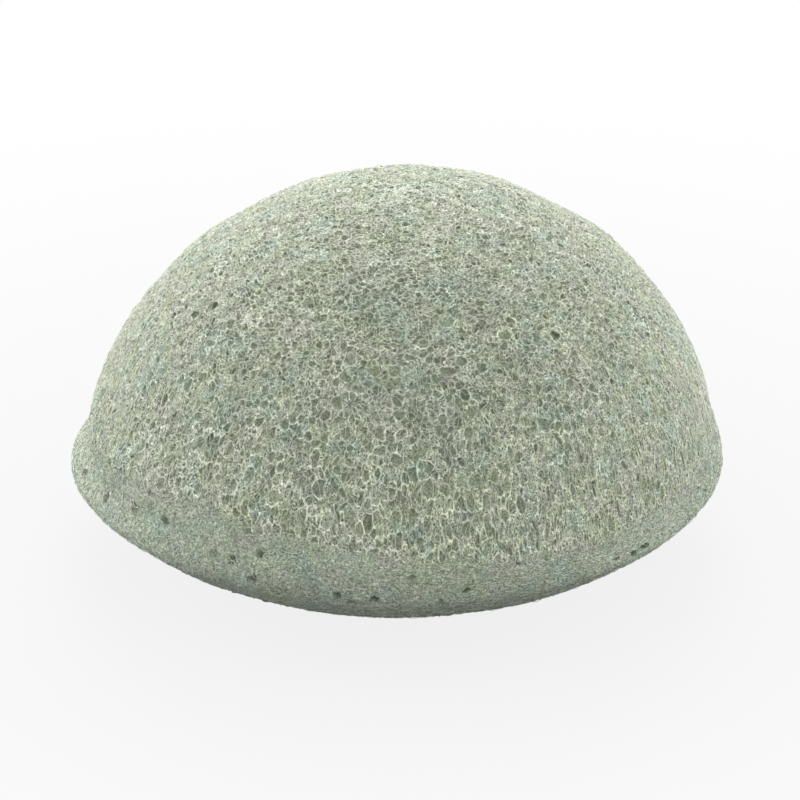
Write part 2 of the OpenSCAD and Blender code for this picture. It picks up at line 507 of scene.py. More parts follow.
def threads(skin, cells, look, rng):
    """The net's corners, then the middles of its sides: their places, heights and half widths."""
    cluster = clusters(skin, cells, look.cluster, rng)
    owner = cluster[cells.owners]
    outer = (owner != owner[:, :1]).any(1)
    sunk = rng.uniform(*look.sunk, cluster.max() + 1)[owner[:, 0]]
    places, s, _ = on_skin(skin, cells.corners)
    fade = look.fade(s, places)
    height = np.where(outer, 0, -sunk) * fade + look.uneven * rng.normal(size=len(outer)).clip(-2, 2)
    outer_stout = rng.uniform(*OUTER_STOUT, len(outer))
    inner_stout = rng.uniform(*INNER_STOUT, len(outer))
    vary = (0.8 + 0.2 * waves(places, STOUT_LENGTH, STOUT_SEED)).clip(0.3, 1.15)
    stout = np.where(outer, outer_stout, inner_stout) * look.stout(places) * vary
    a, b = cells.sides.T
    along = cells.corners[b] - cells.corners[a]
    across = np.stack([-along[:, 1], along[:, 0]], 1)
    bend = rng.uniform(-look.bend, look.bend, len(a))[:, None]
    middle = (cells.corners[a] + cells.corners[b]) / 2 + bend * across
    sag = look.sag * rng.random(len(a)) * np.hypot(*along.T) / np.interp(
        np.hypot(*middle.T), skin.disc, skin.disc / np.maximum(skin.r, STEP))
    cells.points = np.concatenate([cells.corners, middle])
    cells.ridge = np.concatenate([height, (height[a] + height[b]) / 2 - sag])
    thinner = rng.uniform(0.7, 1, len(a))
    cells.stout = np.concatenate([stout, np.minimum(stout[a], stout[b]) * thinner])
    cells.half_wall = look.thread / 2 * (0.45 + 0.8 * cells.stout)


# %% [markdown]
# Each cell is a small open bowl. Its mouth is the net's polygon, drawn in by half a thread's width,
# with a bend in the middle of each side, so the threads between the mouths are thin along a side and
# thicker where three meet, as in real foam. Rings step down from the mouth to a rounded bottom. Cells
# share the corners of the net, so the whole skin is one closed surface with no cracks.

# %% Bowls of the cells
LEAST_MOUTH, MOST_MOUTH = 0.42, 0.94
CREST_DROP = 0.22
# Each step down a bowl: how wide its ring is, of the mouth, and how deep, of the bowl
RING_STEPS = [
    [(1, 0)],
    [(1, 0), (0.8, 0.6)],
    [(1, 0), (0.97, 0.3), (0.68, 0.8)],
]
# Widest bubble that has each kind of steps, in the same order
RING_SIZES = [0.27 * MM, 0.46 * MM]
DEEPEST = 1.1 * MM
# A shallow bowl is as deep as if its cell were no wider than this
SHALLOW_SIZE = 0.42 * MM


def bowls(skin, cells, look, rng):
    """How deep and leaning each cell is, its tone and its steps, at random as the foam shows."""
    n = len(cells.flat)
    deep = rng.random(n) < np.where(cells.size > RING_SIZES[1], look.deep_wide, look.deep_share)
    deep_down = np.minimum(cells.size * rng.uniform(*look.deep, n), DEEPEST)
    shallow_down = np.minimum(cells.size, SHALLOW_SIZE) * rng.uniform(*look.shallow, n)
    places, s, _ = on_skin(skin, cells.flat)
    cells.depth = np.where(deep, deep_down, shallow_down * look.fade(s, places) ** 0.5)
    cells.tone = rng.random(n)
    cells.lean = rng.normal(0, 0.14, (n, 2)) * (cells.size * cells.scale)[:, None]
    cells.steps = np.searchsorted(RING_SIZES, cells.size)


def woven(first, second):
    """Two arrays of points round each cell, taken in turn."""
    return np.stack([first, second], 2).reshape(len(first), -1, *first.shape[2:])


def outlines(cells, ids):
    """The numbers of the corners and side middles round cells that have as many corners each."""
    place = cells.start[ids][:, None] + np.arange(cells.count[ids[0]])
    return woven(cells.ring[place], len(cells.corners) + cells.ring_side[place])


def mouths(cells, ids, number):
    """The cells' middles, and their mouths: their outlines drawn in by half a thread."""
    point = cells.points[number]
    middle = point.mean(1, keepdims=True)
    side = np.roll(point, -1, 1) - point
    to_middle = middle - point
    off = np.abs(side[..., 0] * to_middle[..., 1] - side[..., 1] * to_middle[..., 0])
    off /= np.maximum(np.hypot(side[..., 0], side[..., 1]), NEARLY_ZERO)
    nearest = np.minimum(off, np.roll(off, 1, 1))
    wall = cells.half_wall[number] * cells.scale[ids][:, None]
    share = np.clip(1 - wall / np.maximum(nearest, NEARLY_ZERO), LEAST_MOUTH, MOST_MOUTH)
    return middle, middle + (point - middle) * share[..., None]


# %% [markdown]
# The bowls of a piece become one mesh. Its points are gathered part by part: first the corners of the
# net and the middles of its sides, which neighbouring cells share, and then each bowl's rings.

# %% The mesh of a skin
def strips(upper, lower):
    """Quads between two closed rings of as many points, for many cells at once."""
    return np.stack([upper, np.roll(upper, -1, 1), np.roll(lower, -1, 1), lower], 2).reshape(-1, 4)


class Skin:
    """Points and faces of one piece, gathered part by part."""

    def __init__(self, skin, cells, keep):
        self.skin, self.cells = skin, cells
        ids = np.flatnonzero(keep & (cells.count > 2))
        self.groups = [ids[cells.count[ids] == n] for n in np.unique(cells.count[ids])]
        self.used = np.unique(np.concatenate([outlines(cells, g).ravel() for g in self.groups]))
        self.renumber = np.full(len(cells.points), -1)
        self.renumber[self.used] = np.arange(len(self.used))
        self.places, self.flats, self.marks, self.faces, self.total = [], [], [], [], 0
        self.add(cells.points[self.used], cells.ridge[self.used], cells.stout[self.used], 0.5)

    def add(self, flat, height, thread, tone):
        """Adds points on the skin, and returns their numbers in the shape of height."""
        shape = height.shape
        flat = np.broadcast_to(flat, (*shape, 2)).reshape(-1, 2)
        self.places.append(on_body(self.skin, flat, height.ravel()))
        self.flats.append(flat)
        hollow = (-height / DEEPEST).clip(0, 1)
        marks = [np.broadcast_to(m, shape).ravel() for m in (thread, hollow, tone)]
        self.marks.append(np.stack(marks, 1))
        self.total += height.size
        return self.total - height.size + np.arange(height.size).reshape(shape)


MOUTH_THREAD = 0.3


def add_bowls(mesh, ids, steps):
    """Bowls for cells that have as many corners and the same steps."""
    cells = mesh.cells
    number = outlines(cells, ids)
    middle, mouth = mouths(cells, ids, number)
    ridge = cells.ridge[number]
    rim_height = 0.6 * ridge + 0.4 * ridge.mean(1, keepdims=True) - CREST_DROP * THREAD_W
    top = rim_height.min(1, keepdims=True)
    depth, tone, lean = (v[ids][:, None] for v in (cells.depth, cells.tone, cells.lean))
    upper = mesh.renumber[number]
    for share, down in RING_STEPS[steps]:
        ring = middle + lean * down + (mouth - middle) * share
        height = rim_height * (1 - down) + (top - depth) * down
        thread = MOUTH_THREAD * cells.stout[number] * (down == 0)
        lower = mesh.add(ring, height, thread, tone)
        mesh.faces.append(strips(upper, lower))
        upper = lower
    bottom = mesh.add(middle + lean, top - depth, 0, tone)
    bottom = np.broadcast_to(bottom, upper.shape)
    mesh.faces.append(np.stack([upper, np.roll(upper, -1, 1), bottom], 2).reshape(-1, 3))


def open_cells(skin, cells, keep):
    """The open bowls of the cells to keep, as one skin."""
    mesh = Skin(skin, cells, keep)
    for group in mesh.groups:
        for steps in np.unique(cells.steps[group]):
            add_bowls(mesh, group[cells.steps[group] == steps], steps)
    return mesh


# %% [markdown]
# A skin alone is a sheet without thickness. Each one is closed into a solid by a plain second layer
# that lies on the face of the zone inside it, and by walls along its edge.

# %% Close a skin into a solid
def close(mesh, backing):
    """Adds a second layer, at the places that backing gives, and walls between the two."""
    cells = mesh.cells
    s, turn = spot(mesh.skin, cells.points[mesh.used])
    r, z = backing(s)
    back = mesh.total + mesh.renumber
    mesh.places.append(settled(np.stack([r * np.cos(turn), r * np.sin(turn), z], 1)))
    mesh.flats.append(cells.points[mesh.used])
    # The back layer counts as half deep, so it takes part of the painted pit shade.
    mesh.marks.append(np.tile([0, 0.5, 0.5], (len(mesh.used), 1)))
    mesh.back_faces, ways = [], []
    for group in mesh.groups:
        number = outlines(cells, group)
        mesh.back_faces.append(back[number][:, ::-1])
        ways.append(np.stack([number, np.roll(number, -1, 1)], 2).reshape(-1, 2))
    ways = np.concatenate(ways)
    code, turned = ways @ [len(back), 1], ways @ [1, len(back)]
    edge = ways[~np.isin(turned, code)]
    a, b = mesh.renumber[edge].T
    mesh.wall_faces = [np.stack([a, back[edge[:, 0]], back[edge[:, 1]], b], 1)]


# %% [markdown]
# The map that unrolls a piece for painting comes for free, because its skin was laid out flat to begin
# with. The skin takes most of the map, and the back and the walls take two strips above it.

# %% From points to a piece
SKIN_SHARE, BACK_SHARE = 0.88, 0.98
MARKS = ["thread", "hollow", "tone"]


def flat_map(mesh, faces, low_share, high_share):
    """The map's place for each corner of some faces, in a band of the map."""
    flat = np.concatenate(mesh.flats)
    turn = math.atan2(*flat.mean(0)[::-1])
    flat = flat @ np.array([[math.cos(turn), -math.sin(turn)], [math.sin(turn), math.cos(turn)]])
    share = (flat - flat.min(0)) / np.ptp(flat, axis=0)
    share[:, 1] = low_share + (high_share - low_share) * share[:, 1]
    return [share[f.ravel()] for f in faces]


def wall_map(faces):
    """The map's places of the walls, side by side in the topmost strip."""
    x = np.arange(len(faces))[:, None] / len(faces) + np.array([0, 0, 1, 1]) / len(faces)
    y = np.broadcast_to([BACK_SHARE, 1, 1, BACK_SHARE], x.shape)
    return [np.stack([x, y], 2).reshape(-1, 2)]


def new_mesh(name, points, groups, marks, places, outward=1):
    """A smooth-shaded Blender object from points, groups of faces, marks and places on the map."""
    sizes = np.concatenate([np.full(len(f), f.shape[1]) for f in groups])
    starts = np.concatenate([[0], np.cumsum(sizes)[:-1]])
    loops = np.concatenate([f.ravel() for f in groups])
    if outward < 0:
        turned = np.repeat(2 * starts + sizes - 1, sizes) - np.arange(len(loops))
        loops, places = loops[turned], places[turned]
    data = bpy.data.meshes.new(name)
    data.vertices.add(len(points))
    data.vertices.foreach_set("co", points.ravel())
    data.loops.add(len(loops))
    data.loops.foreach_set("vertex_index", loops.astype(np.int32))
    data.polygons.add(len(sizes))
    data.polygons.foreach_set("loop_start", starts.astype(np.int32))
    data.update(calc_edges=True)
    for mark, values in zip(MARKS, marks.T):
        data.attributes.new(mark, "FLOAT", "POINT").data.foreach_set("value", values.copy())
    data.uv_layers.new(name="OFBake").uv.foreach_set("vector", places.ravel())
    data.shade_smooth()
    piece = bpy.data.objects.new(name, data)
    bpy.context.scene.collection.objects.link(piece)
    print(f"{name}: {len(points)} points, {int((sizes - 2).sum())} triangles")
    return piece


def skin_piece(name, mesh, outward):
    """A closed skin as an object. Its walls are flat-shaded, so that its edge stays crisp."""
    groups = mesh.faces + mesh.back_faces + mesh.wall_faces
    places = np.concatenate([
        *flat_map(mesh, mesh.faces, 0, SKIN_SHARE),
        *flat_map(mesh, mesh.back_faces, SKIN_SHARE, BACK_SHARE),
        *wall_map(mesh.wall_faces[0]),
    ])
    marks, points = np.concatenate(mesh.marks), np.concatenate(mesh.places)
    piece = new_mesh(name, points, groups, marks, places, outward)
    faces = len(piece.data.polygons)
    walls = np.arange(faces) >= faces - len(mesh.wall_faces[0])
    piece.data.attributes.new("sharp_face", "BOOLEAN", "FACE").data.foreach_set("value", walls)
    return piece


# %% [markdown]
# The whole dome would be too heavy as one piece, so it is cut into twelve gores. A gore keeps its
# cells whole, and neighbours share the corners of the net along the cut, so no gap shows. A look says
# how stout, proud and deep a zone's foam is.

# %% The dome in twelve gores
DOME_GORES, RIM_GORES, BASE_GORES = 12, 6, 4
FADE_LENGTH = 3.5 * MM
DOME_FADE_SEED, SKIRT_FADE_SEED = 1, 2
# How stout the dome's threads are, by heights
STOUT_UPWARD = ([22 * MM, 31 * MM], [1.35, 1])


def dome_fade(s, places):
    """The threads grow fainter towards the crease, and low down at the sides."""
    vary = (1 + 0.5 * waves(places, PATCH_LENGTH, DOME_FADE_SEED)).clip(0.3)
    share = (dome_skin.edge - s) / (FADE_LENGTH * vary)
    return (0.7 + 0.3 * share.clip(0, 1)) * (1 - calm(places))


def dome_stout(places):
    """The threads are stouter low down, where the foam is denser."""
    return np.interp(places[:, 2], *STOUT_UPWARD) * (1 - 0.6 * calm(places))


dome_look = SimpleNamespace(
    cluster=1.1 * MM, sunk=(0.03 * MM, 0.2 * MM), uneven=0.035 * MM, thread=THREAD_W,
    fade=dome_fade, stout=dome_stout, bend=0.2, sag=0.12,
    deep_share=0.05, deep_wide=0.05, deep=(0.8, 1.3), shallow=(0.4, 1.1),
)
rng = np.random.default_rng(DOME_SEED + 1)
threads(dome_skin, dome_cells, dome_look, rng)
bowls(dome_skin, dome_cells, dome_look, rng)


def dome_backing(s):
    """The face of the core inside the dome."""
    angle = np.pi / 2 - s / dome_skin.edge * (np.pi / 2 - core_angle)
    return CORE_BALL_R * np.cos(angle), dome_ball_z + CORE_BALL_R * np.sin(angle)


def wedges(zone, cells, keep, count):
    """The cells to keep in each of so many equal wedges, by names that end in the wedge's direction."""
    wedge = np.floor(cells.turn / (2 * np.pi / count) + 0.5).astype(int) % count
    return {f"{zone}_{round(360 * k / count):03d}": keep & (wedge == k) for k in range(count)}


inside = dome_cells.s < dome_skin.edge
pieces = {}
for name, kept in wedges("dome_foam", dome_cells, inside, DOME_GORES).items():
    mesh = open_cells(dome_skin, dome_cells, kept)
    close(mesh, dome_backing)
    pieces[name] = skin_piece(name, mesh, 1)

# %% [markdown]
# The skirt is cut where the rim and the base meet, and each part into wedges. Its threads are thin
# and faint, so it looks smoother than the dome, with a few deep holes.

# %% The rim and the base
def skirt_fade(s, places):
    """Below the crease the threads are as faint as above it, and they fade on round the lip."""
    vary = (1.3 + 0.6 * waves(places, PATCH_LENGTH, SKIRT_FADE_SEED)).clip(0.3)
    share = (skirt_skin.edge - s) / (FADE_LENGTH * vary)
    return 0.6 - 0.3 * share.clip(0, 1)


skirt_look = SimpleNamespace(
    cluster=0.9 * MM, sunk=(0, 0.06 * MM), uneven=0.015 * MM, thread=0.8 * THREAD_W,
    fade=skirt_fade, stout=lambda places: 0.42, bend=0.2, sag=0.1,
    deep_share=0.02, deep_wide=0.8, deep=(0.75, 1.3), shallow=(0.3, 0.8),
)
rng = np.random.default_rng(SKIRT_SEED + 1)
threads(skirt_skin, skirt_cells, skirt_look, rng)
bowls(skirt_skin, skirt_cells, skirt_look, rng)


def rim_backing(s):
    share = (s - skirt_skin.base_edge) / (skirt_skin.edge - skirt_skin.base_edge)
    z = BASE_TOP_Z + share.clip(0, 1) * (CREASE_Z - BASE_TOP_Z)
    return np.full(len(s), CORE_R), z


def base_backing(s):
    return np.interp(s, skirt_skin.s, skirt_skin.r), np.full(len(s), BASE_TOP_Z)


on_rim = (skirt_cells.s >= skirt_skin.base_edge) & (skirt_cells.s < skirt_skin.edge + TUCK)
on_base = skirt_cells.s < skirt_skin.base_edge
for zone, keep, backing, gores in [
    ("rim_foam", on_rim, rim_backing, RIM_GORES), ("base_foam", on_base, base_backing, BASE_GORES),
]:
    for name, kept in wedges(zone, skirt_cells, keep, gores).items():
        mesh = open_cells(skirt_skin, skirt_cells, kept)
        close(mesh, backing)
        pieces[name] = skin_piece(name, mesh, -1)

# %% [markdown]
# The core is one piece. Its skin faces the dome and the rim, and its flat side lies on the base.

# %% The core
core_look = SimpleNamespace(
    cluster=4 * MM, sunk=(0, 0.2 * MM), uneven=0.04 * MM, thread=2 * THREAD_W,
    fade=lambda s, places: 1, stout=lambda places: 1, bend=0.1, sag=0.1,
    deep_share=0.1, deep_wide=0.1, deep=(1.0, 1.5), shallow=(0.5, 0.9),
)
rng = np.random.default_rng(SKIRT_SEED + 2)
threads(core_skin, core_cells, core_look, rng)
bowls(core_skin, core_cells, core_look, rng)


def core_backing(s):
    return s / core_skin.edge * CORE_R, np.full(len(s), BASE_TOP_Z)


mesh = open_cells(core_skin, core_cells, core_cells.s < core_skin.edge)
close(mesh, core_backing)
pieces["core_foam"] = skin_piece("core_foam", mesh, 1)

# %% [markdown]
# Real threads don't all end at the mouths. Some hang across a bowl from side to side, and catch the
# light in front of its shade. Others lie loose over the skin, where a cell was cut or torn open. Each
# is a thin three-sided tube with a bend of its own, from one corner of the net to another.

# %% Free threads
TUBE_SIDES = 3
TUBE_RINGS = 4
ALONG = np.linspace(0, 1, TUBE_RINGS)
BULGE = 4 * ALONG * (1 - ALONG)


def thread_paths(skin, cells, a, b, rise, bend):
    """The middles of threads from corners a to corners b, raised by rise and bent aside half way."""
    height = cells.ridge[a][:, None] * (1 - ALONG) + cells.ridge[b][:, None] * ALONG
    height = height + rise[:, None] * BULGE - CREST_DROP * THREAD_W / 2
    start, end = cells.points[a][:, None], cells.points[b][:, None]
    flat = start * (1 - ALONG[:, None]) + end * ALONG[:, None]
    across = (end - start)[..., ::-1] * [-1, 1]
    flat = flat + across * (bend[:, None] * BULGE)[..., None]
    return on_body(skin, flat.reshape(-1, 2), height.ravel()).reshape(len(a), TUBE_RINGS, 3)


def unit(vectors):
    return vectors / np.maximum(np.linalg.norm(vectors, axis=-1, keepdims=True), NEARLY_ZERO)


def tubes(path, radius):
    """Points round each path, with a little more thickness at its ends."""
    along = unit(np.gradient(path, axis=1))
    across = unit(np.cross(along, path - [0, 0, dome_ball_z]))
    over = np.cross(across, along)
    angle = np.arange(TUBE_SIDES)[:, None] / TUBE_SIDES * 2 * np.pi + np.pi / 2
    thick = radius[:, None] * (1.5 - 0.5 * BULGE)
    round_it = across[:, :, None] * np.cos(angle) + over[:, :, None] * np.sin(angle)
    return (path[:, :, None] + thick[..., None, None] * round_it).reshape(-1, 3)


def tube_faces(count):
    """Faces of many tubes at once: their sides, then both ends."""
    first = np.arange(count)[:, None] * TUBE_SIDES * TUBE_RINGS
    ring = first[..., None] + np.arange(TUBE_RINGS - 1)[:, None] * TUBE_SIDES
    around = np.arange(TUBE_SIDES)
    after = (around + 1) % TUBE_SIDES
    sides = [ring + around, ring + after, ring + after + TUBE_SIDES, ring + around + TUBE_SIDES]
    ends = [first + around[::-1], first + TUBE_SIDES * (TUBE_RINGS - 1) + around]
    return [np.stack(sides, 3).reshape(-1, 4), *ends]


def tube_map(count, groups):
    """Each tube's place on the map is a tile of its own: along it in x, around it in y."""
    tiles = math.ceil(math.sqrt(count))
    tube, point = np.divmod(np.arange(count * TUBE_SIDES * TUBE_RINGS), TUBE_SIDES * TUBE_RINGS)
    x = (tube % tiles + 0.1 + 0.8 * (point // TUBE_SIDES) / (TUBE_RINGS - 1)) / tiles
    y = (tube // tiles + 0.1 + 0.4 * (point % TUBE_SIDES) / (TUBE_SIDES - 1)) / tiles
    place = np.stack([x, y], 1)
    return np.concatenate([place[f.ravel()] for f in groups])


def thread_piece(name, paths, radii, bright):
    groups = tube_faces(len(paths))
    points = tubes(paths, radii)
    bright = np.repeat(bright, TUBE_SIDES * TUBE_RINGS)
    marks = np.stack([bright, np.zeros(len(points)), bright], 1)
    return new_mesh(name, points, groups, marks, tube_map(len(paths), groups))


# %% [markdown]
# A hung thread joins two corners of one bowl. A loose one joins corners a cell or two apart. Low on
# the dome the loose ones run mostly up and down, and on the rim mostly round it, as the cells do.

# %% Threads across the bowls and over the skin
HUNG_SIZE = 0.26 * MM
LOOSE_REACH = (0.3 * MM, 1.5 * MM)
LOOSE_RISE = (-0.01 * MM, 0.16 * MM)


def hung(skin, cells, count, keep, rng):
    """Threads across some of the wider bowls, from one corner to about the opposite one."""
    wide = np.flatnonzero(keep & (cells.count > 4) & (cells.size > HUNG_SIZE))
    cell = rng.choice(wide, min(count, len(wide)), replace=False)
    corners = cells.count[cell]
    first = rng.integers(0, corners)
    other = (first + corners // 2 + rng.integers(-1, 2, len(cell)) * (corners > 5)) % corners
    a, b = (cells.ring[cells.start[cell] + k] for k in (first, other))
    rise = -cells.size[cell] * rng.uniform(0.05, 0.4, len(cell))
    return thread_paths(skin, cells, a, b, rise, rng.uniform(-0.15, 0.15, len(cell)))


def loose(skin, cells, count, keep, rng):
    """Threads that lie over the skin, between corners of the net about a cell or two apart."""
    corner = np.flatnonzero(keep[cells.owners].all(1))
    a = rng.choice(corner, min(count, len(corner)), replace=False)
    tree = tree_of(flat_points(cells.corners[corner], 0))
    flat = cells.corners[a]
    _, s, turn = on_skin(skin, flat)
    way = rng.uniform(0, 2 * np.pi, len(a))
    outward = np.cos(way) * np.interp(s / skin.edge, [0.3, 0.9], [0.7, skin.lengthways])
    step = np.stack([outward * np.cos(turn) - np.sin(way) * np.sin(turn),
                     outward * np.sin(turn) + np.sin(way) * np.cos(turn)], 1)
    reach = LOOSE_REACH[0] + (LOOSE_REACH[1] - LOOSE_REACH[0]) * rng.random(len(a)) ** 2
    aim = flat + step / np.hypot(*step.T)[:, None] * (reach * scale(skin, flat))[:, None]
    b = corner[[tree.find(point)[1] for point in flat_points(aim, 0).tolist()]]
    a, b = a[a != b], b[a != b]
    rise = LOOSE_RISE[0] + (LOOSE_RISE[1] - LOOSE_RISE[0]) * rng.random(len(a)) ** 3
    return thread_paths(skin, cells, a, b, rise, rng.uniform(-0.3, 0.3, len(a)))


THREAD_R = (0.018 * MM, 0.044 * MM)
dome_skin.lengthways, skirt_skin.lengthways = 2.8, 0.6
sloping = on_base & (skirt_cells.s > REST_R)
for zone, skin, cells, keep, gores, hung_count, loose_count in [
    ("dome_threads", dome_skin, dome_cells, inside, DOME_GORES, 120, 3600),
    ("rim_threads", skirt_skin, skirt_cells, on_rim, RIM_GORES, 60, 2400),
    ("base_threads", skirt_skin, skirt_cells, sloping, BASE_GORES, 20, 1800),
]:
    rng = np.random.default_rng(DOME_SEED + 2)
    for name, near in wedges(zone, cells, keep, gores).items():
        paths = np.concatenate([hung(skin, cells, hung_count, near, rng),
                                loose(skin, cells, loose_count, near, rng)])
        radii, bright = rng.uniform(*THREAD_R, len(paths)), rng.uniform(0.35, 1, len(paths))
        pieces[name] = thread_piece(name, paths, radii, bright)

# %% [markdown]
# Moist konjac foam is pale where a thread is thin and light comes through, and olive in the films that
# close the cells. Down the open holes it turns dark green, which is painted shade. The marks that the
# mesh carries say which is which. On top of that the green wanders between olive, teal and a warm grey
# in patches of a few millimetres. Painted shade also darkens the film in a groove beside each thread,
# in the gaps of the web of hairs, and low down at the front of the foot, where the foam is also a
# little smoother. The web of hairs, the tint and the moist grain are node groups, so that each zone
# can use them with values of its own.

# %% Foam colours
def linear(red, green, blue):
    """An eight-bit screen colour as the linear colour that shaders expect."""
    c = np.array([red, green, blue]) / 255
    c = np.where(c <= 0.04045, c / 12.92, ((c + 0.055) / 1.055) ** 2.4)
    return (*c.tolist(), 1)


class Nodes:
    """Short ways to add and join nodes in a tree."""

    def __init__(self, tree):
        self.tree = tree

    def add(self, kind, inputs=None, **settings):
        node = self.tree.nodes.new(f"ShaderNode{kind}")
        for name, value in settings.items():
            setattr(node, name, value)
        for name, value in (inputs or {}).items():
            self.set(node.inputs[name], value)
        return node

    def set(self, socket, value):
        if isinstance(value, bpy.types.NodeSocket):
            self.tree.links.new(value, socket)
        else:
            socket.default_value = value

    def maths(self, operation, *values, clamp=False):
        inputs = dict(enumerate(values))
        return self.add("Math", inputs, operation=operation, use_clamp=clamp).outputs[0]

    def blend(self, share, first, second, kind="MIX"):
        node = self.add("Mix", data_type="RGBA", blend_type=kind)
        for number, value in [(0, share), (6, first), (7, second)]:
            self.set(node.inputs[number], value)
        return node.outputs[2]

    def ramp(self, value, low, high):
        """A value spread so that low gives 0 and high gives 1, softly."""
        inputs = {"Value": value, "From Min": low, "From Max": high}
        return self.add("MapRange", inputs, interpolation_type="SMOOTHSTEP").outputs["Result"]


def new_group(name, inputs, outputs):
    """An empty node group with named sockets, as its nodes, its input node and its output node."""
    tree = bpy.data.node_groups.new(name, "ShaderNodeTree")
    for direction, sockets in [("INPUT", inputs), ("OUTPUT", outputs)]:
        for socket, kind in sockets.items():
            tree.interface.new_socket(socket, in_out=direction, socket_type=f"NodeSocket{kind}")
    return Nodes(tree), tree.nodes.new("NodeGroupInput").outputs, tree.nodes.new("NodeGroupOutput").inputs


def fine_web_group():
    """A web of hair-thin threads, finer than the cells of the mesh: its lines, and the gaps between."""
    inputs = {"Size": "Float", "Tallness": "Float", "Line": "Float"}
    nodes, given, result = new_group("fine_web", inputs, {"Lines": "Float", "Gaps": "Float"})
    place = nodes.add("TexCoord").outputs["Object"]
    tall = nodes.add("CombineXYZ", {"X": 1.0, "Y": 1.0, "Z": nodes.maths("DIVIDE", 1, given["Tallness"])})
    place = nodes.add("VectorMath", {0: place, 1: tall.outputs[0]}, operation="MULTIPLY").outputs[0]
    scale = nodes.maths("DIVIDE", 1, given["Size"])
    bend = nodes.add("TexNoise", {"Vector": place, "Scale": scale, "Detail": 1}).outputs["Color"]
    bend = nodes.add("VectorMath", {0: bend, 1: (0.5, 0.5, 0.5)}, operation="SUBTRACT").outputs[0]
    bend = nodes.add("VectorMath", {0: bend, "Scale": given["Size"]}, operation="SCALE").outputs[0]
    place = nodes.add("VectorMath", {0: place, 1: bend}, operation="ADD").outputs[0]
    web = {"Vector": place, "Scale": scale, "Randomness": 1.0}
    off = nodes.add("TexVoronoi", web, feature="DISTANCE_TO_EDGE").outputs[0]
    wide = nodes.maths("MULTIPLY", scale, 0.4)
    patch = nodes.add("TexNoise", {"Vector": place, "Scale": wide, "Detail": 2})
    present = nodes.ramp(patch.outputs["Fac"], 0.32, 0.55)
    crisp = nodes.maths("MULTIPLY", given["Line"], 0.35)
    lines = nodes.maths("MULTIPLY", nodes.ramp(off, given["Line"], crisp), present)
    stray = nodes.add("TexNoise", {"Vector": place, "Scale": scale, "Detail": 1, "Distortion": 0.6})
    stray = nodes.maths("ABSOLUTE", nodes.maths("SUBTRACT", stray.outputs["Fac"], 0.5))
    strays = nodes.maths("MULTIPLY", nodes.ramp(stray, 0.035, 0.01), 0.85)
    nodes.set(result["Lines"], nodes.maths("MAXIMUM", lines, strays))
    nodes.set(result["Gaps"], nodes.ramp(off, given["Line"], nodes.maths("MULTIPLY", given["Line"], 3)))
    return nodes.tree


# How strongly the grain varies, and how much painted shade darkens the front foot, the groove beside each
# thread and the gaps of the web
GRAIN_SHADE, PAINTED_FRONT_SHADE, PAINTED_GROOVE_SHADE, PAINTED_GAP_SHADE = 2.3, 0.22, 0.42, 0.46
TONE_LIGHT = 0.12


